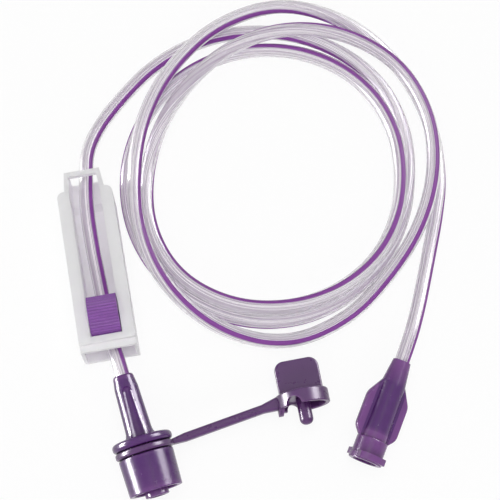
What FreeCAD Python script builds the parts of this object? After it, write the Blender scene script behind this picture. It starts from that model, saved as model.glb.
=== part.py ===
import FreeCAD, Part
import math
import os

# Enteral extension set lying on a table, in millimetres, +Z up. The table is z = 0 and the origin is
# under the middle of the moulded pieces. A lying piece is built along its own X axis, from the end
# where the tube goes in, and then laid in place. Angles are in degrees.

# Tube
TUBE_OD = 3.5
TUBE_WALL = 0.6
CROSSING_GAP = 0.2
BEND_SHARE = 0.45

# Coil: how far the tube runs from the coil's middle, and how many layers up it lies on the turns
# below, at every eighth of a turn. Bearings count clockwise from +Y.
COIL_MIDDLE = (12.86, 39.95)
COIL_FIRST = -90.0
COIL_STATION = 45.0
COIL_STEP = 22.5
COIL_START = -67.5
COIL_END = 1170.0
COIL_REACH = [
    48.0, 44.2, 38.9, 34.6, 30.2, 31.9, 36.4, 39.1,
    39.1, 37.3, 34.2, 30.8, 28.1, 30.7, 33.5, 36.5,
    34.0, 33.5, 38.4, 40.3, 36.1, 35.0, 42.1, 40.3,
    36.8, 39.7, 45.5, 41.2, 37.6, 40.5,
]
COIL_LAYER = [
    0, 0, 0, 0, 0, 0, 0, 0,
    0, 0, 0, 0.3, 0.9, 1, 0.7, 0.7,
    0, 1, 1, 1, 1, 0.4, 0.35, 1,
    1, 1, 0.9, 0, 0, 0,
]

# Stretches that aren't coiled: through the clamp to the coil, and from the coil to the female end
LEAD = [
    (-28.51, -2.6, 5.6),
    (-29.81, 2.6, 4.0),
    (-31.72, 11.2, 4.35),
    (-33.72, 20.3, 5.0),
    (-35.49, 30.1, 5.5),
    (-36.11, 38.7, 4.6),
    (-36.10, 47.7, 3.2),
]
TAIL = [
    (49.7, 29.4, 1.75),
    (47.9, 21.1, 2.0),
    (46.1, 13.1, 3.2),
    (44.2, 5.3, 5.2),
]

# Male connector, from the port's top to the collar's mouth
MALE_AT = (-25.49, -11.40)
MALE_HEADING = -72.78
MALE_SOCKET = 4.0
MALE_FREE_RUN = 3.3
PORT_LENGTH = 15.1
PORT_TOP_WIDTH = 4.1
PORT_CROWN = 1.0
PORT_CROWN_WIDTH = 5.0
PORT_SHOULDER = 3.0
PORT_SHOULDER_WIDTH = 5.6
PORT_FOOT_WIDTH = 6.2
PORT_EXTRA_HEIGHT = 0.8
PORT_FLARE = 2.2
PORT_STEPS = 5
FLUTE_START = 2.8
FLUTE_TOP_R = 1.4
FLUTE_TOP_DEPTH = 0.7
FLUTE_FOOT_R = 2.5
FLUTE_FOOT_DEPTH = 1.3
FLANGE_D = 14.2
FLANGE_THICK = 2.1
FLANGE_EDGE_R = 0.9
NECK_D = 9.6
COLLAR_LENGTH = 8.8
COLLAR_TOP_D = 13.0
COLLAR_MOUTH_D = 12.5
COLLAR_BORE_D = 10.2
COLLAR_FLOOR = 1.2
TIP_D = 5.6
TIP_BORE_D = 3.8
TIP_BORE_DEPTH = 6.0
TIP_OUT = 1.2

# Tethered cap: ring in the male connector's groove, strap, and the cap beside it
RING_D = 13.8
RING_THICK = 1.5
RING_SIDE_GAP = 0.15
RING_BORE_GAP = 0.1
CAP_AT = (14.68, -7.02)
CAP_HEADING = -79.18
CAP_D = 12.5
CAP_WALL = 1.1
CAP_DISC = 1.2
SKIRT_DEPTH = 3.4
TAB_LENGTH = 8.0
TAB_WIDTH = 10.5
TAB_THICK = 1.3
TAB_CORNER = 2.3
TAB_EDGE_R = 0.45
PLUG_D = 3.2
PLUG_OUT = 4.3
NOTCH_R = 1.9
NOTCH_ANGLES = (115.0, 245.0)
LEG_OUT = 1.4
LEG_WIDTH = 5.0
STRAP_THICK = 2.0
STRAP_HEIGHT = 2.6
STRAP_EDGE_R = 0.8
STRAP_ROOT = 3.2
STRAP_FLARE = 4.0

# Female connector, from the sleeve's top to the rim
FEMALE_AT = (39.90, -7.67)
FEMALE_HEADING = -111.55
FEMALE_PITCH = 4.0
FEMALE_ROLL = -22.0
FEMALE_SOCKET = 6.0
FEMALE_FREE_RUN = 5.0
FEMALE_LENGTH = 25.1
SLEEVE_LENGTH = 6.0
SLEEVE_TOP_D = 4.3
SLEEVE_FOOT_D = 5.9
BARREL_D = 6.3
HUB_START = 19.6
HUB_D = 7.5
RIM_D = 8.0
RIM_THICK = 1.4
BORE_D = 5.7
BORE_DEPTH = 7.2
LUG_SPAN = 10.4
LUG_THICK = 1.5
LUG_WIDTH = 6.6
LUG_STAGGER = 0.8
WING_SPAN = 10.9
WING_THICK = 1.6
WING_START = 5.0
WING_FULL = 9.6
WING_TURN = 17.8
WING_END = 20.2
WING_TIP = 6.8
WING_TOP_CORNER = 3.5
WING_FOOT_CORNER = 2.6
WING_EDGE_R = 0.5

# Roller clamp's housing, from the lower end, which the male connector faces, to the upper end
CLAMP_AT = (-28.44, -6.13)
CLAMP_HEADING = 100.3
CLAMP_PITCH = 2.5
HOUSING_LENGTH = 45.4
HOUSING_WIDTH = 13.3
RAIL_TOP = 11.5
CHANNEL_WIDTH = 7.4
SHOULDER_AT = 40.0
SHOULDER_CORNER = 1.6
BOX_WIDTH = 9.8
BOX_END_WIDTH = 8.6
BOX_TOP = 10.2
BOX_CHANNEL_END = 6.4
BAR_THICK = 1.2
BAR_UNDERSIDE = 8.8
BRIDGE_LENGTH = 3.1
BRIDGE_STEP = 1.6
BRIDGE_TOP = 10.2
CHAMBER_WIDTH = 11.8
CHAMBER_FLOOR = 1.0
CHAMBER_TOP = 9.0
FLOOR_LOW = 0.7
FLOOR_HIGH = 3.15
FLOOR_BOX = 1.2
RAMP_START = 12.0
RAMP_END = 36.7
RAMP_BACK = 2.8
GROOVE_DEPTH = 1.6

# Roller, with a trunnion at each end that runs in the housing's grooves
ROLLER_AT = 8.2
ROLLER_TRAVEL = 27.5
ROLLER_AXIS = 9.5
ROLLER_D = 9.8
ROLLER_SIDE_GAP = 0.2
RIDGE_COUNT = 40
RIDGE_DEPTH = 0.22
TRUNNION_D = 1.8
TRUNNION_GAP = 0.1
TRUNNION_END_GAP = 0.3

# Rounding of moulded edges
EDGE_R = 0.5
SMALL_EDGE_R = 0.25

TABLE = 0.0
OVERCUT = 1.0
FULL_TURN = 360.0


def vector(x, y, z=0.0):
    return FreeCAD.Vector(x, y, z)


def bend(before, corner, after, reach):
    """Tangent arc round a corner, reaching the same length along both runs: its points and radius."""
    into = (corner - before).normalize()
    out = (after - corner).normalize()
    half_turn = into.getAngle(out) / 2
    radius = reach / math.tan(half_turn)
    inward = (out - into).normalize()
    middle = corner + inward * (radius / math.cos(half_turn) - radius)
    return corner - into * reach, middle, corner + out * reach, radius


def rounded_wire(corners):
    """Closed outline of straight sides, each corner given as a point and its radius."""
    joints = []
    count = len(corners)
    for i in range(count):
        point, radius = corners[i]
        if radius <= 0:
            joints.append((point, None, point))
            continue
        before = corners[i - 1][0]
        after = corners[(i + 1) % count][0]
        half_turn = (point - before).getAngle(after - point) / 2
        start, middle, end, _ = bend(before, point, after, radius * math.tan(half_turn))
        joints.append((start, middle, end))
    edges = []
    for i in range(count):
        start, middle, end = joints[i]
        if middle is not None:
            edges.append(Part.Arc(start, middle, end).toShape())
        edges.append(Part.LineSegment(end, joints[(i + 1) % count][0]).toShape())
    return Part.Wire(edges)


def turned(profile):
    """Solid of revolution about X from (station, radius, corner radius) points."""
    wire = rounded_wire([(vector(x, 0, r), corner) for x, r, corner in profile])
    return Part.Face(wire).revolve(vector(0, 0), vector(1, 0), FULL_TURN)


def flat_plate(outline, bottom, top):
    """Plate from an outline of (x, y, corner radius) points, between two heights."""
    wire = rounded_wire([(vector(x, y, bottom), corner) for x, y, corner in outline])
    return Part.Face(wire).extrude(vector(0, 0, top - bottom))


def eased(plate, radius):
    """Plate with the edges of its upper and lower face rounded."""
    rims = [edge for edge in plate.Edges if edge.BoundBox.ZLength < SMALL_EDGE_R]
    return plate.makeFillet(radius, rims)


def mirrored_outline(half):
    """Outline on both sides of the X axis from its +Y half."""
    return list(half) + [(x, -y, corner) for x, y, corner in reversed(half)]


def side_plate(outline, half_width):
    """Prism across Y from an outline of (x, z) points."""
    wire = rounded_wire([(vector(x, -half_width, z), 0) for x, z in outline])
    return Part.Face(wire).extrude(vector(0, 2 * half_width, 0))


def block(x0, x1, width, z0, z1):
    """Box centred across Y."""
    return Part.makeBox(x1 - x0, width, z1 - z0, vector(x0, -width / 2, z0))


def rod(x0, x1, diameter):
    return Part.makeCylinder(diameter / 2, x1 - x0, vector(x0, 0), vector(1, 0))


def lying(at, height, heading, pitch=0.0, roll=0.0):
    """Placement of a lying piece: its own X axis goes along the heading and dips by the pitch."""
    return FreeCAD.Placement(vector(at[0], at[1], height), FreeCAD.Rotation(heading, pitch, roll))


def laid(shape, placement):
    piece = shape.copy()
    piece.Placement = placement
    return piece


# Stations along the male connector
flange_end = PORT_LENGTH + FLANGE_THICK
ring_start = flange_end + RING_SIDE_GAP
ring_end = ring_start + RING_THICK
collar_start = ring_end + RING_SIDE_GAP
collar_end = collar_start + COLLAR_LENGTH
tip_end = collar_end + TIP_OUT

# The male connector rests on its flange and on the collar's mouth, so its mouth end dips
flange_contact = flange_end - FLANGE_EDGE_R
mouth_contact = collar_end - SMALL_EDGE_R
male_dip = (FLANGE_D - COLLAR_MOUTH_D) / 2 / (mouth_contact - flange_contact)
male_pitch = math.degrees(math.atan(male_dip))
male_height = (
    FLANGE_D / 2 * math.cos(math.radians(male_pitch))
    + flange_contact * math.sin(math.radians(male_pitch))
)
male_place = lying(MALE_AT, male_height, MALE_HEADING, male_pitch)

# The cap lies on its disc and skirt
cap_place = lying(CAP_AT, CAP_D / 2, CAP_HEADING)

# The female connector rests on its lower lug, with the sleeve held up by the tube
lug_front = FEMALE_LENGTH - LUG_STAGGER
female_height = (
    LUG_SPAN / 2 * math.cos(math.radians(FEMALE_PITCH))
    + lug_front * math.sin(math.radians(FEMALE_PITCH))
)
female_place = lying(FEMALE_AT, female_height, FEMALE_HEADING, FEMALE_PITCH, FEMALE_ROLL)

# The clamp rests on its upper end, with the lower end held up by the tube
clamp_height = HOUSING_LENGTH * math.sin(math.radians(CLAMP_PITCH))
clamp_place = lying(CLAMP_AT, clamp_height, CLAMP_HEADING, CLAMP_PITCH)


def port_section(station, width):
    """Rounded cross-section of the port, a little taller than it is wide."""
    y = width / 2
    z = (width + PORT_EXTRA_HEIGHT) / 2
    corner = y - SMALL_EDGE_R
    around = ((-y, -z), (y, -z), (y, z), (-y, z))
    return rounded_wire([(vector(station, a, b), corner) for a, b in around])


def port():
    """The tube's port: a rounded top, a slight taper, and a flare into the flange."""
    quarter = [math.radians(90.0 * i / PORT_STEPS) for i in range(PORT_STEPS + 1)]
    sections = []
    for angle in quarter:
        station = PORT_CROWN * (1 - math.cos(angle))
        width = PORT_TOP_WIDTH + (PORT_CROWN_WIDTH - PORT_TOP_WIDTH) * math.sin(angle)
        sections.append(port_section(station, width))
    sections.append(port_section(PORT_SHOULDER, PORT_SHOULDER_WIDTH))
    for angle in quarter:
        station = PORT_LENGTH - PORT_FLARE + PORT_FLARE * math.sin(angle)
        width = PORT_FOOT_WIDTH + PORT_FLARE * (1 - math.cos(angle))
        sections.append(port_section(station, width))
    return Part.makeLoft(sections, True, True)


def flute(side):
    """Round-bottomed groove in the port's upper (+1) or lower (-1) face, widening to the flange."""
    top_z = (PORT_SHOULDER_WIDTH + PORT_EXTRA_HEIGHT) / 2 - FLUTE_TOP_DEPTH + FLUTE_TOP_R
    foot_z = (PORT_FOOT_WIDTH + PORT_EXTRA_HEIGHT) / 2 - FLUTE_FOOT_DEPTH + FLUTE_FOOT_R
    start = vector(FLUTE_START + FLUTE_TOP_R, 0, side * top_z)
    along = vector(PORT_LENGTH, 0, side * foot_z) - start
    groove = Part.makeCone(FLUTE_TOP_R, FLUTE_FOOT_R, along.Length, start, along)
    return groove.fuse(Part.makeSphere(FLUTE_TOP_R, start))


def male_connector():
    body = turned([
        (PORT_LENGTH, 0, 0),
        (PORT_LENGTH, FLANGE_D / 2, FLANGE_EDGE_R),
        (flange_end, FLANGE_D / 2, FLANGE_EDGE_R),
        (flange_end, NECK_D / 2, 0),
        (collar_start, NECK_D / 2, 0),
        (collar_start, COLLAR_TOP_D / 2, EDGE_R),
        (collar_end, COLLAR_MOUTH_D / 2, SMALL_EDGE_R),
        (collar_end, COLLAR_BORE_D / 2, SMALL_EDGE_R),
        (collar_start + COLLAR_FLOOR, COLLAR_BORE_D / 2, EDGE_R),
        (collar_start + COLLAR_FLOOR, TIP_D / 2, 0),
        (tip_end, TIP_D / 2, SMALL_EDGE_R),
        (tip_end, 0, 0),
    ])
    body = body.fuse(port().cut(flute(1)).cut(flute(-1)))
    body = body.cut(rod(-OVERCUT, MALE_SOCKET, TUBE_OD))
    body = body.cut(rod(MALE_SOCKET - OVERCUT, tip_end + OVERCUT, TUBE_OD - 2 * TUBE_WALL))
    return body.cut(rod(tip_end - TIP_BORE_DEPTH, tip_end + OVERCUT, TIP_BORE_D))


def ring():
    """The cap's ring, round the male connector's neck."""
    bore_r = NECK_D / 2 + RING_BORE_GAP
    return turned([
        (ring_start, bore_r, 0),
        (ring_start, RING_D / 2, EDGE_R),
        (ring_end, RING_D / 2, EDGE_R),
        (ring_end, bore_r, 0),
    ])


def cap():
    """The cap in its own axes: tab, disc, notched skirt with one leg, and the plug inside."""
    mouth = TAB_LENGTH + SKIRT_DEPTH
    inner_r = CAP_D / 2 - CAP_WALL
    shell = turned([
        (TAB_LENGTH, 0, 0),
        (TAB_LENGTH, CAP_D / 2, EDGE_R),
        (mouth, CAP_D / 2, SMALL_EDGE_R),
        (mouth, inner_r, SMALL_EDGE_R),
        (TAB_LENGTH + CAP_DISC, inner_r, EDGE_R),
        (TAB_LENGTH + CAP_DISC, 0, 0),
    ])
    for angle in NOTCH_ANGLES:
        outward = vector(0, math.cos(math.radians(angle)), math.sin(math.radians(angle)))
        start = vector(mouth, 0) + outward * (inner_r - OVERCUT)
        shell = shell.cut(Part.makeCylinder(NOTCH_R, CAP_WALL + 2 * OVERCUT, start, outward))
    band = rod(mouth - OVERCUT, mouth + LEG_OUT, CAP_D).cut(rod(0, mouth + 2 * LEG_OUT, 2 * inner_r))
    leg_middle = vector(mouth + LEG_OUT - LEG_WIDTH / 2, -CAP_D / 2)
    leg = band.common(Part.makeCylinder(LEG_WIDTH / 2, CAP_D / 2, leg_middle, vector(0, 1)))
    tab = flat_plate(
        [
            (0, -TAB_WIDTH / 2, TAB_CORNER),
            (TAB_LENGTH + CAP_DISC / 2, -TAB_WIDTH / 2, 0),
            (TAB_LENGTH + CAP_DISC / 2, TAB_WIDTH / 2, 0),
            (0, TAB_WIDTH / 2, TAB_CORNER),
        ],
        -TAB_THICK / 2,
        TAB_THICK / 2,
    )
    plug_end = mouth + PLUG_OUT
    plug = turned([
        (TAB_LENGTH + CAP_DISC / 2, 0, 0),
        (TAB_LENGTH + CAP_DISC / 2, PLUG_D / 2, 0),
        (plug_end, PLUG_D / 2, PLUG_D / 2 - SMALL_EDGE_R),
        (plug_end, 0, 0),
    ])
    return shell.fuse([leg, eased(tab, TAB_EDGE_R), plug])


def strap():
    """Rounded strap from inside the ring's rim to inside the cap's skirt wall."""
    ring_side = (RING_D / 2 + NECK_D / 2) / 2
    start = male_place.multVec(vector((ring_start + ring_end) / 2, ring_side, 0))
    end = cap_place.multVec(vector(TAB_LENGTH + SKIRT_DEPTH / 2, -(CAP_D / 2 - CAP_WALL / 2), 0))
    start.z = (start.z + end.z) / 2
    end.z = start.z
    along = (end - start).normalize()
    across = vector(-along.y, along.x)
    up = vector(0, 0, 1)
    length = (end - start).Length
    sections = []
    for distance, thick in (
        (0.0, RING_THICK - 2 * SMALL_EDGE_R),
        (STRAP_FLARE, STRAP_THICK),
        (length - STRAP_FLARE, STRAP_THICK),
        (length, STRAP_ROOT),
    ):
        middle = start + along * distance
        edge_r = min(STRAP_EDGE_R, thick / 2 - SMALL_EDGE_R / 2)
        corners = []
        for a, b in ((-1, -1), (1, -1), (1, 1), (-1, 1)):
            corner = middle + across * (a * thick / 2) + up * (b * STRAP_HEIGHT / 2)
            corners.append((corner, edge_r))
        sections.append(rounded_wire(corners))
    return Part.makeLoft(sections, True, True)


def tethered_cap():
    whole = laid(ring(), male_place).fuse([strap(), laid(cap(), cap_place)])
    whole = whole.cut(laid(rod(flange_end, collar_start, NECK_D + 2 * RING_BORE_GAP), male_place))
    return whole.removeSplitter()


def wing_plate():
    half_barrel = BARREL_D / 2 - EDGE_R
    half = [
        (WING_START, half_barrel, 0),
        (WING_FULL, WING_SPAN / 2, WING_TOP_CORNER),
        (WING_TURN, WING_SPAN / 2, WING_FOOT_CORNER),
        (WING_END, WING_TIP / 2, 0),
    ]
    plate = flat_plate(mirrored_outline(half), -WING_THICK / 2, WING_THICK / 2)
    return eased(plate, WING_EDGE_R)


def lug(side):
    """One of the two lugs at the rim, the lower one a little further from the mouth."""
    front = FEMALE_LENGTH - SMALL_EDGE_R
    if side < 0:
        front = lug_front
    band = rod(front - LUG_THICK, front, LUG_SPAN)
    height = LUG_SPAN / 2
    low = 0.0 if side > 0 else -height
    return band.common(block(front - LUG_THICK, front, LUG_WIDTH, low, low + height))


def female_connector():
    body = turned([
        (0, 0, 0),
        (0, SLEEVE_TOP_D / 2, 0),
        (SLEEVE_LENGTH, SLEEVE_FOOT_D / 2, 0),
        (HUB_START, BARREL_D / 2, 0),
        (HUB_START, HUB_D / 2, SMALL_EDGE_R),
        (FEMALE_LENGTH - RIM_THICK, HUB_D / 2, 0),
        (FEMALE_LENGTH - RIM_THICK, RIM_D / 2, 0),
        (FEMALE_LENGTH, RIM_D / 2, SMALL_EDGE_R),
        (FEMALE_LENGTH, 0, 0),
    ])
    body = body.fuse([wing_plate(), lug(1), lug(-1)])
    body = body.cut(rod(-OVERCUT, FEMALE_SOCKET, TUBE_OD))
    body = body.cut(rod(FEMALE_SOCKET - OVERCUT, FEMALE_LENGTH, TUBE_OD - 2 * TUBE_WALL))
    return body.cut(rod(FEMALE_LENGTH - BORE_DEPTH, FEMALE_LENGTH + OVERCUT, BORE_D))


def clamp_housing():
    side = HOUSING_WIDTH / 2
    outer = flat_plate(
        mirrored_outline([
            (0, side, 0),
            (SHOULDER_AT, side, SHOULDER_CORNER),
            (SHOULDER_AT, BOX_WIDTH / 2, 0),
            (HOUSING_LENGTH, BOX_END_WIDTH / 2, 0),
        ]),
        TABLE,
        RAIL_TOP,
    )
    above = RAIL_TOP + OVERCUT
    beyond = HOUSING_LENGTH + OVERCUT
    outer = outer.cut(block(SHOULDER_AT, beyond, HOUSING_WIDTH, BOX_TOP, above))
    outer = outer.cut(block(-OVERCUT, BRIDGE_STEP, 2 * HOUSING_WIDTH, BRIDGE_TOP, above))
    plan = flat_plate(
        mirrored_outline([
            (BRIDGE_LENGTH, CHANNEL_WIDTH / 2, 0),
            (SHOULDER_AT, CHANNEL_WIDTH / 2, 0),
            (beyond, BOX_CHANNEL_END / 2, 0),
        ]),
        TABLE,
        above,
    )
    bar_start = HOUSING_LENGTH - BAR_THICK
    profile = side_plate(
        [
            (BRIDGE_LENGTH, FLOOR_LOW),
            (RAMP_START, FLOOR_LOW),
            (RAMP_END, FLOOR_HIGH),
            (RAMP_END + RAMP_BACK, FLOOR_BOX),
            (beyond, FLOOR_BOX),
            (beyond, BAR_UNDERSIDE),
            (bar_start, BAR_UNDERSIDE),
            (bar_start, above),
            (BRIDGE_LENGTH, above),
        ],
        HOUSING_WIDTH,
    )
    chamber = block(-OVERCUT, BRIDGE_LENGTH, CHAMBER_WIDTH, CHAMBER_FLOOR, CHAMBER_TOP)
    stop = TRUNNION_D / 2 + TRUNNION_GAP
    grooves = block(
        ROLLER_AT - stop,
        ROLLER_AT + ROLLER_TRAVEL + stop,
        CHANNEL_WIDTH + 2 * GROOVE_DEPTH,
        ROLLER_AXIS - stop,
        ROLLER_AXIS + stop,
    )
    return outer.cut(plan.common(profile)).cut(chamber).cut(grooves)


def clamp_roller():
    width = CHANNEL_WIDTH - 2 * ROLLER_SIDE_GAP
    rim = []
    for i in range(2 * RIDGE_COUNT):
        angle = math.radians(FULL_TURN * i / (2 * RIDGE_COUNT))
        radius = ROLLER_D / 2 - RIDGE_DEPTH * (i % 2)
        x = ROLLER_AT + radius * math.cos(angle)
        z = ROLLER_AXIS + radius * math.sin(angle)
        rim.append(vector(x, -width / 2, z))
    wheel = Part.Face(Part.makePolygon(rim + [rim[0]])).extrude(vector(0, width, 0))
    length = CHANNEL_WIDTH + 2 * GROOVE_DEPTH - 2 * TRUNNION_END_GAP
    start = vector(ROLLER_AT, -length / 2, ROLLER_AXIS)
    axle = Part.makeCylinder(TRUNNION_D / 2, length, start, vector(0, 1, 0))
    return wheel.fuse(axle)


def between(values, bearing):
    """Smooth value at a bearing, from the values at the coil's stations."""
    place = (bearing - COIL_FIRST) / COIL_STATION
    i = math.floor(place)
    f = place - i
    last = len(values) - 1
    a, b, c, d = (values[max(0, min(j, last))] for j in (i - 1, i, i + 1, i + 2))
    bow = 2 * a - 5 * b + 4 * c - d
    twist = 3 * b - a - 3 * c + d
    return (2 * b + (c - a) * f + bow * f ** 2 + twist * f ** 3) / 2


def straight_between(values, bearing):
    """Value at a bearing on the straight line between the two nearest stations."""
    place = (bearing - COIL_FIRST) / COIL_STATION
    i = min(math.floor(place), len(values) - 2)
    f = place - i
    return values[i] * (1 - f) + values[i + 1] * f


def coil_points():
    """Corners of the coil's route, which stand a little outside the tube's line."""
    points = []
    steps = round((COIL_END - COIL_START) / COIL_STEP)
    outset = math.cos(math.radians(COIL_STEP / 2))
    for i in range(steps + 1):
        bearing = COIL_START + i * COIL_STEP
        reach = between(COIL_REACH, bearing) / outset
        layer = straight_between(COIL_LAYER, bearing)
        height = TUBE_OD / 2 + layer * (TUBE_OD + CROSSING_GAP)
        angle = math.radians(bearing)
        points.append(vector(
            COIL_MIDDLE[0] + reach * math.sin(angle),
            COIL_MIDDLE[1] + reach * math.cos(angle),
            height,
        ))
    return points


def tube():
    """Hollow tube along straight runs joined by tangent arcs, bonded in both connectors' sockets."""
    points = [
        male_place.multVec(vector(MALE_SOCKET, 0)),
        male_place.multVec(vector(-MALE_FREE_RUN, 0)),
    ]
    points += [vector(*p) for p in LEAD] + coil_points() + [vector(*p) for p in TAIL]
    points.append(female_place.multVec(vector(-FEMALE_FREE_RUN, 0)))
    points.append(female_place.multVec(vector(FEMALE_SOCKET, 0)))
    edges = []
    radii = []
    here = points[0]
    for before, corner, after in zip(points, points[1:], points[2:]):
        reach = BEND_SHARE * min((corner - before).Length, (after - corner).Length)
        start, middle, end, radius = bend(before, corner, after, reach)
        edges.append(Part.LineSegment(here, start).toShape())
        edges.append(Part.Arc(start, middle, end).toShape())
        radii.append(radius)
        here = end
    edges.append(Part.LineSegment(here, points[-1]).toShape())
    path = Part.Wire(edges)
    facing = points[1] - points[0]
    outer = Part.Wire(Part.makeCircle(TUBE_OD / 2, points[0], facing))
    inner = Part.Wire(Part.makeCircle(TUBE_OD / 2 - TUBE_WALL, points[0], facing))
    solid = path.makePipe(Part.Face(outer).cut(Part.Face(inner)).Faces[0])
    section = math.pi * TUBE_WALL * (TUBE_OD - TUBE_WALL)
    print("tube length", round(path.Length, 1), "volume over section times length",
          round(solid.Volume / (section * path.Length), 4))
    print("bend radii", [round(r, 1) for r in radii])
    return solid


pieces = {
    "tube": tube(),
    "male_connector": laid(male_connector(), male_place),
    "tethered_cap": tethered_cap(),
    "female_connector": laid(female_connector(), female_place),
    "clamp_housing": laid(clamp_housing(), clamp_place),
    "clamp_roller": laid(clamp_roller(), clamp_place),
}

os.makedirs("parts", exist_ok=True)
for name, shape in pieces.items():
    shape.exportStep("parts/" + name + ".step")
    box = shape.BoundBox
    print(name, "solids", len(shape.Solids), "valid", shape.isValid(), "volume", round(shape.Volume, 1),
          "x", round(box.XMin, 2), round(box.XMax, 2), "y", round(box.YMin, 2), round(box.YMax, 2),
          "z", round(box.ZMin, 2), round(box.ZMax, 2))
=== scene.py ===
import math
import bpy
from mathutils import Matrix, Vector


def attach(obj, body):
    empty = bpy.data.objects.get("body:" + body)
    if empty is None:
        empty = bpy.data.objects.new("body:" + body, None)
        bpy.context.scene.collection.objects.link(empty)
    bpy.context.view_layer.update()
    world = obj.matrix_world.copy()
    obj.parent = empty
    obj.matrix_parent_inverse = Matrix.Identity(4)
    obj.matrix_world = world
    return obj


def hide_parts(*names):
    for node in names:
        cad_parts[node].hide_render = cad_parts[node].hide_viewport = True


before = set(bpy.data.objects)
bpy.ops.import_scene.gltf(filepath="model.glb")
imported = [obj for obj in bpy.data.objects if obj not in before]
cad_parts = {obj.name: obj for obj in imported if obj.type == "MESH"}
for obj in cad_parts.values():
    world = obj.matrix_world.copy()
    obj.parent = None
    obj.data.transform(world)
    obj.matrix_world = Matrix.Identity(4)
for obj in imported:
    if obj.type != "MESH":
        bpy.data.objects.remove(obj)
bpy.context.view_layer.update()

# Tube
# A clear flexible extrusion, 3.5 mm across, that carries the feed. It lies in a loose coil, and both
# its ends are bonded into connectors. The route repeats the CAD model's points, in metres.
MM = 0.001
TUBE_R = 1.75 * MM
TUBE_WALL = 0.6 * MM
TUBE_SIDES = 32
ROUTE_STEPS = 10
UP = Vector((0, 0, 1))
CROSSING_RISE = 3.7 * MM
COIL_MIDDLE = (12.86 * MM, 39.95 * MM)
COIL_FIRST = -90.0
COIL_STATION = 45.0
COIL_STEP = 22.5
COIL_START = -67.5
COIL_END = 1170.0
COIL_REACH = [
    48.0, 44.2, 38.9, 34.6, 30.2, 31.9, 36.4, 39.1,
    39.1, 37.3, 34.2, 30.8, 28.1, 30.7, 33.5, 36.5,
    34.0, 33.5, 38.4, 40.3, 36.1, 35.0, 42.1, 40.3,
    36.8, 39.7, 45.5, 41.2, 37.6, 40.5,
]
COIL_LAYER = [
    0, 0, 0, 0, 0, 0, 0, 0,
    0, 0, 0, 0.3, 0.9, 1, 0.7, 0.7,
    0, 1, 1, 1, 1, 0.4, 0.35, 1,
    1, 1, 0.9, 0, 0, 0,
]
LEAD = [
    (-28.51, -2.6, 5.6),
    (-29.81, 2.6, 4.0),
    (-31.72, 11.2, 4.35),
    (-33.72, 20.3, 5.0),
    (-35.49, 30.1, 5.5),
    (-36.11, 38.7, 4.6),
    (-36.10, 47.7, 3.2),
]
TAIL = [
    (49.7, 29.4, 1.75),
    (47.9, 21.1, 2.0),
    (46.1, 13.1, 3.2),
    (44.2, 5.3, 5.2),
]

# Where each connector lies: the start of its own axis, and the way that axis runs
MALE_AT = Vector((-25.49, -11.40, 8.308)) * MM
MALE_AXIS = Vector((0.2952, -0.95246, -0.07534))
MALE_SOCKET = 4.0 * MM
MALE_FREE_RUN = 3.3 * MM
FEMALE_AT = Vector((39.90, -7.67, 6.882)) * MM
FEMALE_AXIS = Vector((-0.366418, -0.927832, -0.069756))
FEMALE_SOCKET = 6.0 * MM
FEMALE_FREE_RUN = 5.0 * MM


def smooth_station(values, bearing, spacing=COIL_STATION):
    """Value at a bearing on the smooth curve through the coil's stations."""
    place = max(0.0, (bearing - COIL_FIRST) / spacing)
    i = math.floor(place)
    f = place - i
    last = len(values) - 1
    a, b, c, d = (values[max(0, min(j, last))] for j in (i - 1, i, i + 1, i + 2))
    bow = 2 * a - 5 * b + 4 * c - d
    twist = 3 * b - a - 3 * c + d
    return (2 * b + (c - a) * f + bow * f ** 2 + twist * f ** 3) / 2


def straight_station(values, bearing):
    place = (bearing - COIL_FIRST) / COIL_STATION
    i = min(math.floor(place), len(values) - 2)
    f = place - i
    return values[i] * (1 - f) + values[i + 1] * f


def coil_points():
    points = []
    outset = math.cos(math.radians(COIL_STEP / 2))
    for i in range(round((COIL_END - COIL_START) / COIL_STEP) + 1):
        bearing = COIL_START + i * COIL_STEP
        reach = smooth_station(COIL_REACH, bearing) * MM / outset
        angle = math.radians(bearing)
        points.append(Vector((
            COIL_MIDDLE[0] + reach * math.sin(angle),
            COIL_MIDDLE[1] + reach * math.cos(angle),
            TUBE_R + straight_station(COIL_LAYER, bearing) * CROSSING_RISE,
        )))
    return points


route = [MALE_AT + MALE_AXIS * MALE_SOCKET, MALE_AT - MALE_AXIS * MALE_FREE_RUN]
route += [Vector(p) * MM for p in LEAD]
route += coil_points()
route += [Vector(p) * MM for p in TAIL]
route += [FEMALE_AT - FEMALE_AXIS * FEMALE_FREE_RUN, FEMALE_AT + FEMALE_AXIS * FEMALE_SOCKET]


def add_object(name, data):
    """Puts a mesh, a curve, a lamp or a camera in the scene."""
    piece = bpy.data.objects.new(name, data)
    bpy.context.scene.collection.objects.link(piece)
    return piece


def spline_object(name, points):
    """Smooth open curve with the given control points."""
    data = bpy.data.curves.new(name, "CURVE")
    data.dimensions = "3D"
    data.resolution_u = ROUTE_STEPS
    spline = data.splines.new("NURBS")
    spline.points.add(len(points) - 1)
    for knot, point in zip(spline.points, points):
        knot.co = (point.x, point.y, point.z, 1.0)
    spline.order_u = 3
    spline.use_endpoint_u = True
    return add_object(name, data)


def line_of(curve_object):
    """Points along the curve, from its own mesh."""
    bpy.context.view_layer.update()
    mesh = bpy.data.meshes.new_from_object(curve_object)
    points = [v.co.copy() for v in mesh.vertices]
    bpy.data.meshes.remove(mesh)
    return points


guide = spline_object("tube_route", route)
centre_line = line_of(guide)
bpy.data.objects.remove(guide)


def steady_frames(points):
    """Point, level side and up all along the line, so that an angle means the same everywhere."""
    frames = []
    for i, point in enumerate(points):
        ahead = points[min(i + 1, len(points) - 1)]
        behind = points[max(i - 1, 0)]
        along = (ahead - behind).normalized()
        side = along.cross(UP).normalized()
        frames.append((point, side, side.cross(along)))
    return frames


tube_frames = steady_frames(centre_line)


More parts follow.
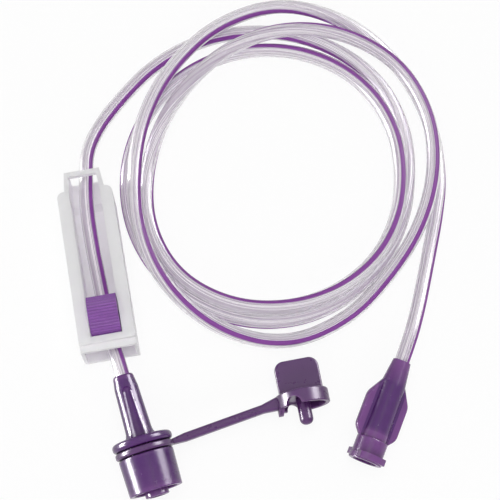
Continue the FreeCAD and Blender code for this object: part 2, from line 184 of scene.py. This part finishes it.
def running_length(points):
    total = [0.0]
    for a, b in zip(points, points[1:]):
        total.append(total[-1] + (b - a).length)
    return total


tube_run = running_length(centre_line)


def circle_ring(radius):
    ring = []
    for j in range(TUBE_SIDES):
        angle = 2 * math.pi * j / TUBE_SIDES
        ring.append((radius * math.cos(angle), radius * math.sin(angle)))
    return ring


def hollow_tube(name, frames, outer, inner, turn_of):
    """Tube with an outer skin, a bore and flat ends. Its UV map turns with turn_of(i), in degrees."""
    mesh = bpy.data.meshes.new(name)
    vertices = []
    faces = []
    uvs = []
    n = TUBE_SIDES
    for radius in (outer, inner):
        for point, side, up in frames:
            vertices += [point + side * a + up * b for a, b in circle_ring(radius)]
    rings = len(frames)
    for layer in (0, 1):
        for i in range(rings - 1):
            here = (layer * rings + i) * n
            for j in range(n):
                k = (j + 1) % n
                quad = (here + j, here + k, here + n + k, here + n + j)
                near = j / n + turn_of(i) / 360.0
                far = j / n + turn_of(i + 1) / 360.0
                uv = [(near, tube_run[i]), (near + 1 / n, tube_run[i]),
                      (far + 1 / n, tube_run[i + 1]), (far, tube_run[i + 1])]
                faces.append(quad if layer == 0 else tuple(reversed(quad)))
                uvs += uv if layer == 0 else list(reversed(uv))
    for i, turned_over in ((0, True), (rings - 1, False)):
        for j in range(n):
            k = (j + 1) % n
            quad = (i * n + j, i * n + k, (rings + i) * n + k, (rings + i) * n + j)
            faces.append(quad if turned_over else tuple(reversed(quad)))
            uvs += [(j / n, tube_run[i])] * 4
    mesh.from_pydata(vertices, [], faces)
    mesh.update()
    layer = mesh.uv_layers.new(name="extrusion")
    for loop, uv in zip(layer.data, uvs):
        loop.uv = uv
    for face in mesh.polygons:
        face.use_smooth = True
    return add_object(name, mesh)


def new_material(name):
    """Material with one Principled shader."""
    material = bpy.data.materials.new(name)
    material.use_nodes = True
    tree = material.node_tree
    shader = tree.nodes["Principled BSDF"]
    return material, tree, shader


def link(tree, source, output, target, socket):
    tree.links.new(source.outputs[output], target.inputs[socket])


def maths(tree, operation, kind="ShaderNodeMath"):
    node = tree.nodes.new(kind)
    node.operation = operation
    return node


def noise(tree, detail):
    node = tree.nodes.new("ShaderNodeTexNoise")
    node.inputs["Detail"].default_value = detail
    return node


def map_range(tree, values):
    """Node that maps one range of values to another, with the given ends."""
    node = tree.nodes.new("ShaderNodeMapRange")
    for name, value in values.items():
        node.inputs[name].default_value = value
    return node


def two_tone(tree, low_at, low, high_at, high):
    """Colour ramp from a low colour to a high one."""
    node = tree.nodes.new("ShaderNodeValToRGB")
    ends = node.color_ramp.elements
    ends[0].position = low_at
    ends[0].color = low
    ends[1].position = high_at
    ends[1].color = high
    return node


# The stripe's angle at every quarter turn of the coil: 0 faces up, and it grows towards the inside
STRIPE_TURN = [45, 62, 165, 262, 282, 341, 341, 394, 445, 664, 692, 688, 780, 788, 1000, 1015]
STRIPE_STATION = 90.0


def bearings_of(points):
    """Bearing of each point about the coil's middle, counted on through the turns."""
    bearings = []
    for point in points:
        bearing = math.degrees(math.atan2(point.x - COIL_MIDDLE[0], point.y - COIL_MIDDLE[1]))
        if bearings:
            bearing += 360.0 * round((bearings[-1] - bearing) / 360.0)
        bearings.append(bearing)
    return bearings


tube_bearings = bearings_of(centre_line)


def stripe_angle(i):
    return smooth_station(STRIPE_TURN, tube_bearings[i], STRIPE_STATION)


# Soft milky plastic, with the fine lengthwise streaks that the extruder's die leaves
MILKY_LIGHT = (0.86, 0.83, 0.86, 1.0)
MILKY_DARK = (0.56, 0.49, 0.59, 1.0)
STREAKS_AROUND = 22.0
STREAKS_ALONG = 8.0
STREAK_DEPTH = 0.04 * MM
CLEARNESS = 0.4
CLEAR_TINT = (0.96, 0.95, 0.97, 1.0)
clear_material, clear_tree, clear_shader = new_material("clear_tubing")
clear_shader.inputs["Transmission Weight"].default_value = CLEARNESS
clear_shader.inputs["IOR"].default_value = 1.42
streak_place = clear_tree.nodes.new("ShaderNodeUVMap")
streak_place.uv_map = "extrusion"
streak_stretch = clear_tree.nodes.new("ShaderNodeMapping")
streak_stretch.inputs["Scale"].default_value = (STREAKS_AROUND, STREAKS_ALONG, 1.0)
streaks = noise(clear_tree, 3.0)
streaks.inputs["Scale"].default_value = 1.0
streak_tones = two_tone(clear_tree, 0.38, MILKY_DARK, 0.56, MILKY_LIGHT)
streak_shine = map_range(clear_tree, {"To Min": 0.20, "To Max": 0.34})
streak_bump = clear_tree.nodes.new("ShaderNodeBump")
streak_bump.inputs["Strength"].default_value = 0.6
streak_bump.inputs["Distance"].default_value = STREAK_DEPTH
link(clear_tree, streak_place, "UV", streak_stretch, "Vector")
link(clear_tree, streak_stretch, "Vector", streaks, "Vector")
link(clear_tree, streaks, "Fac", streak_tones, "Fac")
link(clear_tree, streak_tones, "Color", clear_shader, "Base Color")
link(clear_tree, streaks, "Fac", streak_shine, "Value")
link(clear_tree, streak_shine, "Result", clear_shader, "Roughness")
link(clear_tree, streaks, "Fac", streak_bump, "Height")
link(clear_tree, streak_bump, "Normal", clear_shader, "Normal")

# Lamps and diffuse light pass through the clear wall to what is behind it
clear_path = clear_tree.nodes.new("ShaderNodeLightPath")
clear_either = maths(clear_tree, "MAXIMUM")
clear_way = clear_tree.nodes.new("ShaderNodeBsdfTransparent")
clear_way.inputs["Color"].default_value = CLEAR_TINT
clear_mix = clear_tree.nodes.new("ShaderNodeMixShader")
link(clear_tree, clear_path, "Is Shadow Ray", clear_either, 0)
link(clear_tree, clear_path, "Is Diffuse Ray", clear_either, 1)
link(clear_tree, clear_either, 0, clear_mix, 0)
link(clear_tree, clear_shader, "BSDF", clear_mix, 1)
link(clear_tree, clear_way, "BSDF", clear_mix, 2)
link(clear_tree, clear_mix, 0, clear_tree.nodes["Material Output"], "Surface")

tube = hollow_tube("clear_tube", tube_frames, TUBE_R, TUBE_R - TUBE_WALL, stripe_angle)
tube.data.materials.append(clear_material)
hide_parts("tube")
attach(tube, "set")

# Stripe
# A purple line extruded into the tube's wall, which shows that the tube is for feeding. The tube twists
# as it is coiled, so the stripe turns slowly about it from the clamp to the female connector.
STRIPE_HALF_ANGLE = 19.0
STRIPE_STEPS = 6
STRIPE_PROUD = 0.02 * MM
STRIPE_BACKING = 0.12 * MM
STRIPE_OUTER = TUBE_R + STRIPE_PROUD
STRIPE_INNER = TUBE_R - TUBE_WALL + STRIPE_BACKING
STRIPE_COLOUR = (0.262, 0.075, 0.345, 1.0)


def stripe_ring(i):
    """Section of the stripe, a thin curved bar in the wall."""
    middle = stripe_angle(i)
    ring = []
    for radius, steps in (
        (STRIPE_OUTER, range(STRIPE_STEPS + 1)),
        (STRIPE_INNER, reversed(range(STRIPE_STEPS + 1))),
    ):
        for j in steps:
            angle = math.radians(middle + STRIPE_HALF_ANGLE * (2 * j / STRIPE_STEPS - 1))
            ring.append((radius * math.sin(angle), radius * math.cos(angle)))
    return ring


def swept(name, frames, ring_of):
    """Closed mesh swept along the frames. ring_of(i) gives its points' offsets to the side and up."""
    mesh = bpy.data.meshes.new(name)
    vertices = []
    faces = []
    count = len(ring_of(0))
    for i, (point, side, up) in enumerate(frames):
        for a, b in ring_of(i):
            vertices.append(point + side * a + up * b)
    last = (len(frames) - 1) * count
    for here in range(0, last, count):
        for j in range(count):
            k = (j + 1) % count
            faces.append((here + j, here + k, here + count + k, here + count + j))
    faces.append(tuple(reversed(range(count))))
    faces.append(tuple(range(last, last + count)))
    mesh.from_pydata(vertices, [], faces)
    mesh.update()
    for face in mesh.polygons:
        face.use_smooth = True
    return add_object(name, mesh)


def surface_grain():
    """Shader group for moulded and extruded plastic: mottled colour, uneven shine and a fine skin."""
    group = bpy.data.node_groups.new("plastic_grain", "ShaderNodeTree")
    for name, kind, value in (
        ("Colour", "NodeSocketColor", (0.5, 0.5, 0.5, 1.0)),
        ("Mottle", "NodeSocketFloat", 0.1),
        ("Mottle Size", "NodeSocketFloat", 300.0),
        ("Shine From", "NodeSocketFloat", 0.2),
        ("Shine To", "NodeSocketFloat", 0.3),
        ("Skin Size", "NodeSocketFloat", 2500.0),
        ("Skin Strength", "NodeSocketFloat", 0.1),
        ("Skin Depth", "NodeSocketFloat", 0.00005),
    ):
        socket = group.interface.new_socket(name, in_out="INPUT", socket_type=kind)
        socket.default_value = value
    group.interface.new_socket("Colour", in_out="OUTPUT", socket_type="NodeSocketColor")
    group.interface.new_socket("Roughness", in_out="OUTPUT", socket_type="NodeSocketFloat")
    group.interface.new_socket("Normal", in_out="OUTPUT", socket_type="NodeSocketVector")
    given = group.nodes.new("NodeGroupInput")
    result = group.nodes.new("NodeGroupOutput")
    place = group.nodes.new("ShaderNodeTexCoord")
    mottle = noise(group, 4.0)
    deeper = maths(group, "SUBTRACT")
    deeper.inputs[0].default_value = 1.0
    lighter = maths(group, "ADD")
    lighter.inputs[0].default_value = 1.0
    tone = group.nodes.new("ShaderNodeMapRange")
    tinted = maths(group, "SCALE", "ShaderNodeVectorMath")
    shine = map_range(group, {"From Min": 0.3, "From Max": 0.7})
    skin = noise(group, 2.0)
    bump = group.nodes.new("ShaderNodeBump")
    link(group, place, "Object", mottle, "Vector")
    link(group, given, "Mottle Size", mottle, "Scale")
    link(group, given, "Mottle", deeper, 1)
    link(group, given, "Mottle", lighter, 1)
    link(group, mottle, "Fac", tone, "Value")
    link(group, deeper, 0, tone, "To Min")
    link(group, lighter, 0, tone, "To Max")
    link(group, given, "Colour", tinted, 0)
    link(group, tone, "Result", tinted, "Scale")
    link(group, tinted, "Vector", result, "Colour")
    link(group, mottle, "Fac", shine, "Value")
    link(group, given, "Shine From", shine, "To Min")
    link(group, given, "Shine To", shine, "To Max")
    link(group, shine, "Result", result, "Roughness")
    link(group, place, "Object", skin, "Vector")
    link(group, given, "Skin Size", skin, "Scale")
    link(group, skin, "Fac", bump, "Height")
    link(group, given, "Skin Strength", bump, "Strength")
    link(group, given, "Skin Depth", bump, "Distance")
    link(group, bump, "Normal", result, "Normal")
    return group


plastic_grain = surface_grain()


def grained(tree, shader, values):
    """Puts the grain group in a material, with its own values."""
    grain = tree.nodes.new("ShaderNodeGroup")
    grain.node_tree = plastic_grain
    for name, value in values.items():
        grain.inputs[name].default_value = value
    link(tree, grain, "Colour", shader, "Base Color")
    link(tree, grain, "Roughness", shader, "Roughness")
    link(tree, grain, "Normal", shader, "Normal")
    return grain


# Its own shine is kept low, so that reflections of the side panels don't wash out the purple
stripe_material, stripe_tree, stripe_shader = new_material("purple_stripe")
stripe_shader.inputs["Specular IOR Level"].default_value = 0.1
grained(stripe_tree, stripe_shader, {
    "Colour": STRIPE_COLOUR,
    "Mottle": 0.12,
    "Mottle Size": 260.0,
    "Shine From": 0.35,
    "Shine To": 0.5,
})
stripe = swept("tube_stripe", tube_frames, stripe_ring)
stripe.data.materials.append(stripe_material)
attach(stripe, "set")
[tuple(p) for p in centre_line]

# Male connector
# A hard glossy purple moulding: a fluted port bonded on the tube, a flange, and a collar round the tip.
# The steel mould is spark-finished, which leaves a fine orange-peel skin that breaks up the highlights.
def dress(node_name, material):
    """Gives a carried-over solid its finish."""
    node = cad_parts[node_name]
    node.data.materials.clear()
    node.data.materials.append(material)


OPENNESS_SAMPLES = 8
CREASE_REACH = 2.5 * MM


def openness(tree, reach, inside=False):
    """Mask that falls from 1 in the open to 0 in narrow places, or with inside, in thin walls."""
    node = tree.nodes.new("ShaderNodeAmbientOcclusion")
    node.inside = inside
    node.samples = OPENNESS_SAMPLES
    node.inputs["Distance"].default_value = reach
    return node


def paint_wall_light_and_crease_shade(tree, grain, through_light_colour, thick_colour, wall):
    """Painted light where the wall is thin, for the light that comes through, and painted shade in a
    crease.
    """
    thickness = openness(tree, wall, inside=True)
    tones = two_tone(tree, 0.2, through_light_colour, 0.85, thick_colour)
    # Painted shade: the colour darkens where surfaces close in
    crease = openness(tree, CREASE_REACH)
    shade = map_range(tree, {"From Min": 0.35, "From Max": 0.9, "To Min": 0.5})
    shaded = maths(tree, "SCALE", "ShaderNodeVectorMath")
    link(tree, thickness, "AO", tones, "Fac")
    link(tree, crease, "AO", shade, "Value")
    link(tree, tones, "Color", shaded, 0)
    link(tree, shade, "Result", shaded, "Scale")
    link(tree, shaded, "Vector", grain, "Colour")
    return thickness, tones


CONNECTOR_COLOUR = (0.076, 0.013, 0.138, 1.0)
# The lighter colour that is painted where the wall is thin, as painted light coming through it
CONNECTOR_PAINTED_THROUGH_LIGHT = (0.180, 0.055, 0.240, 1.0)
CONNECTOR_WALL = 1.4 * MM
CONNECTOR_FINISH = {
    "Mottle": 0.08,
    "Mottle Size": 420.0,
    "Shine From": 0.22,
    "Shine To": 0.28,
    "Skin Size": 2600.0,
    "Skin Strength": 0.35,
    "Skin Depth": 0.00006,
}
connector_material, connector_tree, connector_shader = new_material("purple_moulding")
connector_grain = grained(connector_tree, connector_shader, CONNECTOR_FINISH)
# Painted light in thin walls and painted shade in creases go into the colour
paint_wall_light_and_crease_shade(connector_tree, connector_grain, CONNECTOR_PAINTED_THROUGH_LIGHT, CONNECTOR_COLOUR, CONNECTOR_WALL)
dress("male_connector", connector_material)

# Thread in the collar
# A two-start right-hand thread moulded inside the collar, which draws the mate onto the tip. Its crests
# are flat, and each start fades in at the mouth and out near the collar's floor.
THREAD_STARTS = 2
THREAD_LEAD = 5.2 * MM
THREAD_FROM = 22.3 * MM
THREAD_TO = 27.55 * MM
THREAD_BORE_R = 5.1 * MM
THREAD_HEIGHT = 0.5 * MM
THREAD_ROOT = 0.55 * MM
THREAD_CREST = 0.22 * MM
THREAD_SUNK = 0.05 * MM
THREAD_STEPS = 90
THREAD_CORNERS = 4
# The share of a start's length over which it fades, and of its height that is left at its very ends
THREAD_FADE = 0.125
THREAD_END = 0.02
thread_side = MALE_AXIS.cross(UP).normalized()
thread_up = thread_side.cross(MALE_AXIS)


def thread_ridge(start):
    """Rings of one start's ridge, from the collar's floor to its mouth."""
    rings = []
    for i in range(THREAD_STEPS + 1):
        share = i / THREAD_STEPS
        station = THREAD_FROM + (THREAD_TO - THREAD_FROM) * share
        turn = 2 * math.pi * ((station - THREAD_FROM) / THREAD_LEAD + start / THREAD_STARTS)
        outward = thread_side * math.cos(turn) + thread_up * math.sin(turn)
        fade = min(1.0, share / THREAD_FADE, (1 - share) / THREAD_FADE)
        fade = fade * (1 - THREAD_END) + THREAD_END
        foot = MALE_AT + MALE_AXIS * station + outward * (THREAD_BORE_R + THREAD_SUNK)
        crest = MALE_AT + MALE_AXIS * station + outward * (THREAD_BORE_R - THREAD_HEIGHT * fade)
        rings.append([
            foot - MALE_AXIS * THREAD_ROOT * fade,
            foot + MALE_AXIS * THREAD_ROOT * fade,
            crest + MALE_AXIS * THREAD_CREST * fade,
            crest - MALE_AXIS * THREAD_CREST * fade,
        ])
    return rings


thread_vertices = []
thread_faces = []
for start in range(THREAD_STARTS):
    rings = thread_ridge(start)
    base = len(thread_vertices)
    thread_vertices += [point for ring in rings for point in ring]
    for i in range(THREAD_STEPS):
        here = base + THREAD_CORNERS * i
        ahead = here + THREAD_CORNERS
        for j in range(THREAD_CORNERS):
            k = (j + 1) % THREAD_CORNERS
            thread_faces.append((here + j, here + k, ahead + k, ahead + j))
    end = base + THREAD_CORNERS * THREAD_STEPS
    thread_faces.append((base + 3, base + 2, base + 1, base))
    thread_faces.append((end, end + 1, end + 2, end + 3))
thread_mesh = bpy.data.meshes.new("collar_thread")
thread_mesh.from_pydata(thread_vertices, [], thread_faces)
thread_mesh.materials.append(connector_material)
thread = add_object("collar_thread", thread_mesh)
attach(thread, "set")

# Female connector
# The same hard purple plastic: a sleeve over the tube, two finger wings, and a hub with two lugs. The
# wings stand clear of the barrel and let more light through, and that is painted in: they take the
# lighter colour.
WINGS_FROM = 3.6 * MM
WINGS_TO = 3.9 * MM
female_material, female_tree, female_shader = new_material("purple_winged_moulding")
female_grain = grained(female_tree, female_shader, CONNECTOR_FINISH)
# Painted light in thin walls and painted shade in creases, as on the male connector
female_thickness, female_tones = paint_wall_light_and_crease_shade(
    female_tree, female_grain, CONNECTOR_PAINTED_THROUGH_LIGHT, CONNECTOR_COLOUR, CONNECTOR_WALL
)
female_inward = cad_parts["female_connector"].matrix_world.inverted()
wing_place = female_tree.nodes.new("ShaderNodeTexCoord")
wing_offset = maths(female_tree, "SUBTRACT", "ShaderNodeVectorMath")
wing_offset.inputs[1].default_value = female_inward @ FEMALE_AT
wing_across = maths(female_tree, "CROSS_PRODUCT", "ShaderNodeVectorMath")
wing_across.inputs[1].default_value = female_inward.to_3x3() @ FEMALE_AXIS
wing_reach = maths(female_tree, "LENGTH", "ShaderNodeVectorMath")
wing_share = map_range(female_tree, {
    "From Min": WINGS_FROM,
    "From Max": WINGS_TO,
    "To Min": 1.0,
    "To Max": 0.3,
})
# Painted light: past the barrel the wings count as thin, so they take the lighter painted colour
wing_painted_light = maths(female_tree, "MULTIPLY")
link(female_tree, wing_place, "Object", wing_offset, 0)
link(female_tree, wing_offset, "Vector", wing_across, 0)
link(female_tree, wing_across, "Vector", wing_reach, 0)
link(female_tree, wing_reach, "Value", wing_share, "Value")
link(female_tree, wing_share, "Result", wing_painted_light, 0)
link(female_tree, female_thickness, "AO", wing_painted_light, 1)
link(female_tree, wing_painted_light, 0, female_tones, "Fac")
dress("female_connector", female_material)

# Tethered cap
# One soft moulding: the ring in the male connector's groove, the strap, and the cap with its pull tab.
# It is a duller, more flexible grade than the connectors, and slightly redder.
CAP_COLOUR = (0.098, 0.030, 0.140, 1.0)
# The lighter colour that is painted where the wall is thin, as painted light coming through it
CAP_PAINTED_THROUGH_LIGHT = (0.200, 0.075, 0.240, 1.0)
CAP_WALL = 0.7 * MM
cap_material, cap_tree, cap_shader = new_material("purple_cap_moulding")
cap_grain = grained(cap_tree, cap_shader, {
    "Mottle": 0.06,
    "Mottle Size": 500.0,
    "Shine From": 0.26,
    "Shine To": 0.32,
    "Skin Size": 2200.0,
    "Skin Strength": 0.30,
    "Skin Depth": 0.00006,
})
# Painted light in thin walls and painted shade in creases go into the colour
paint_wall_light_and_crease_shade(cap_tree, cap_grain, CAP_PAINTED_THROUGH_LIGHT, CAP_COLOUR, CAP_WALL)
dress("tethered_cap", cap_material)

# Roller clamp housing
# A white moulding open at the top, with a sloping floor that the roller presses the tube against. Its
# thin walls let a good deal of light through; subsurface light and a painted glow keep the channel
# nearly as bright as the rails.
CLAMP_COLOUR = (0.80, 0.795, 0.805, 1.0)
clamp_material, clamp_tree, clamp_shader = new_material("white_moulding")
clamp_shader.inputs["Subsurface Weight"].default_value = 0.6
clamp_shader.inputs["Subsurface Radius"].default_value = (0.0025, 0.0024, 0.0026)
clamp_shader.inputs["Subsurface Scale"].default_value = 1.0
grained(clamp_tree, clamp_shader, {
    "Colour": CLAMP_COLOUR,
    "Mottle": 0.03,
    "Mottle Size": 220.0,
    "Shine From": 0.32,
    "Shine To": 0.46,
    "Skin Size": 1800.0,
    "Skin Strength": 0.35,
    "Skin Depth": 0.00006,
})
# A faint painted glow, emitted deep in the channel, stands in for the light that comes through its walls
CLAMP_PAINTED_GLOW = (0.085, 0.076, 0.087, 1.0)
NO_GLOW = (0.0, 0.0, 0.0, 1.0)
CHANNEL_REACH = 9.0 * MM
clamp_depth = openness(clamp_tree, CHANNEL_REACH)
clamp_painted_glow = two_tone(clamp_tree, 0.25, CLAMP_PAINTED_GLOW, 0.95, NO_GLOW)
clamp_shader.inputs["Emission Strength"].default_value = 1.0
link(clamp_tree, clamp_depth, "AO", clamp_painted_glow, "Fac")
link(clamp_tree, clamp_painted_glow, "Color", clamp_shader, "Emission Color")
dress("clamp_housing", clamp_material)

# Clamp roller
# A solid purple wheel with fine ridges across its rim for the thumb, on two pins in the grooves.
ROLLER_COLOUR = (0.245, 0.080, 0.365, 1.0)
# Painted shade: the colour darkens in the narrow grooves between the ridges
GROOVE_PAINTED_SHADE = (0.085, 0.022, 0.150, 1.0)
GROOVE_REACH = 0.3 * MM
roller_material, roller_tree, roller_shader = new_material("purple_roller")
roller_grain = grained(roller_tree, roller_shader, {
    "Mottle": 0.14,
    "Mottle Size": 600.0,
    "Shine From": 0.36,
    "Shine To": 0.52,
    "Skin Size": 2400.0,
    "Skin Strength": 0.4,
    "Skin Depth": 0.00005,
})
# Mask for the painted shade in the grooves
roller_groove_shade = openness(roller_tree, GROOVE_REACH)
roller_tones = two_tone(roller_tree, 0.5, GROOVE_PAINTED_SHADE, 0.95, ROLLER_COLOUR)
link(roller_tree, roller_groove_shade, "AO", roller_tones, "Fac")
link(roller_tree, roller_tones, "Color", roller_grain, "Colour")
dress("clamp_roller", roller_material)

# Table, light and camera
# A pale table under soft studio light, seen from the photograph's viewing angle.
FLOOR_SIZE = 4.0
FLOOR_COLOUR = (0.95, 0.95, 0.95, 1.0)
FLOOR_WHITENESS = 0.9
floor_mesh = bpy.data.meshes.new("table_top")
half = FLOOR_SIZE / 2
floor_mesh.from_pydata(
    [(-half, -half, 0), (half, -half, 0), (half, half, 0), (-half, half, 0)], [], [(0, 1, 2, 3)]
)
floor = add_object("table_top", floor_mesh)


def seen_rays(tree):
    """Mask that is 1 for rays from the camera and for those that shiny or clear pieces send on."""
    path = tree.nodes.new("ShaderNodeLightPath")
    shiny = maths(tree, "MAXIMUM")
    clear = maths(tree, "MAXIMUM")
    link(tree, path, "Is Camera Ray", shiny, 0)
    link(tree, path, "Is Glossy Ray", shiny, 1)
    link(tree, shiny, 0, clear, 0)
    link(tree, path, "Is Transmission Ray", clear, 1)
    return clear


floor_material, floor_tree, floor_shader = new_material("pale_table")
floor_shader.inputs["Base Color"].default_value = FLOOR_COLOUR
floor_shader.inputs["Roughness"].default_value = 0.9
floor_glow = floor_tree.nodes.new("ShaderNodeEmission")
floor_glow.inputs["Strength"].default_value = 1.0
floor_share = maths(floor_tree, "MULTIPLY")
floor_share.inputs[1].default_value = FLOOR_WHITENESS
floor_mix = floor_tree.nodes.new("ShaderNodeMixShader")
link(floor_tree, seen_rays(floor_tree), 0, floor_share, 0)
link(floor_tree, floor_share, 0, floor_mix, 0)
link(floor_tree, floor_shader, "BSDF", floor_mix, 1)
link(floor_tree, floor_glow, "Emission", floor_mix, 2)
link(floor_tree, floor_mix, 0, floor_tree.nodes["Material Output"], "Surface")
floor_mesh.materials.append(floor_material)

# The room's light is a little stronger from above, and the background shows white
WORLD_LOW = 0.26
WORLD_HIGH = 0.38
world = bpy.data.worlds.new("studio")
bpy.context.scene.world = world
world.use_nodes = True
world_tree = world.node_tree
world_light = world_tree.nodes["Background"]
world_place = world_tree.nodes.new("ShaderNodeTexCoord")
world_height = world_tree.nodes.new("ShaderNodeSeparateXYZ")
world_rise = map_range(world_tree, {
    "From Min": 0.1,
    "From Max": 0.9,
    "To Min": WORLD_LOW,
    "To Max": WORLD_HIGH,
})
link(world_tree, world_place, "Generated", world_height, "Vector")
link(world_tree, world_height, "Z", world_rise, "Value")
link(world_tree, world_rise, "Result", world_light, "Strength")
world_light.inputs["Color"].default_value = (1.0, 1.0, 1.0, 1.0)
world_seen = world_tree.nodes.new("ShaderNodeBackground")
world_seen.inputs["Strength"].default_value = 1.0
world_mix = world_tree.nodes.new("ShaderNodeMixShader")
link(world_tree, seen_rays(world_tree), 0, world_mix, 0)
link(world_tree, world_light, "Background", world_mix, 1)
link(world_tree, world_seen, "Background", world_mix, 2)
link(world_tree, world_mix, 0, world_tree.nodes["World Output"], "Surface")


LIT_SPOT = Vector((0, 0.02, 0))


def soft_light(name, place, width, height, power):
    """Area light that faces the object's middle."""
    data = bpy.data.lights.new(name, "AREA")
    data.shape = "RECTANGLE"
    data.size = width
    data.size_y = height
    data.energy = power
    lamp = add_object(name, data)
    lamp.location = place
    lamp.rotation_euler = (LIT_SPOT - Vector(place)).to_track_quat("-Z", "Y").to_euler()
    return lamp


# Two panels at the sides give the long highlights. They only show as reflections, so their power
# doesn't raise the level at which the object is lit.
left_panel = soft_light("panel_left", (-0.92, 0.0, 0.14), width=0.7, height=0.26, power=34.0)
left_panel.visible_diffuse = False
right_panel = soft_light("panel_right", (0.665, 0.485, 0.46), width=0.6, height=0.5, power=17.0)
right_panel.visible_diffuse = False

# A lamp in front and one overhead light the channel and the tops of the pieces, and add no shine
front_lamp = soft_light("softbox_front", (0.0, -0.75, 0.55), width=0.8, height=0.3, power=2.3)
front_lamp.visible_glossy = False
top_lamp = soft_light("overhead", (0.0, 0.02, 1.2), width=0.6, height=0.6, power=6.2)
top_lamp.visible_glossy = False

CAMERA_AT = (4.2 * MM, -87.0 * MM, 356.1 * MM)
VIEW_TILT = math.radians(17.0)
VIEW_FOCAL_PX = 1520.0
PHOTO_PX = 500.0
SENSOR = 36.0
camera_data = bpy.data.cameras.new("camera")
camera_data.sensor_width = SENSOR
camera_data.lens = VIEW_FOCAL_PX / PHOTO_PX * SENSOR
camera_data.clip_start = 0.01
camera_data.clip_end = 20.0
camera = add_object("camera", camera_data)
camera.location = CAMERA_AT
camera.rotation_euler = (VIEW_TILT, 0.0, 0.0)
bpy.context.scene.camera = camera
bpy.context.scene.view_settings.view_transform = "Standard"
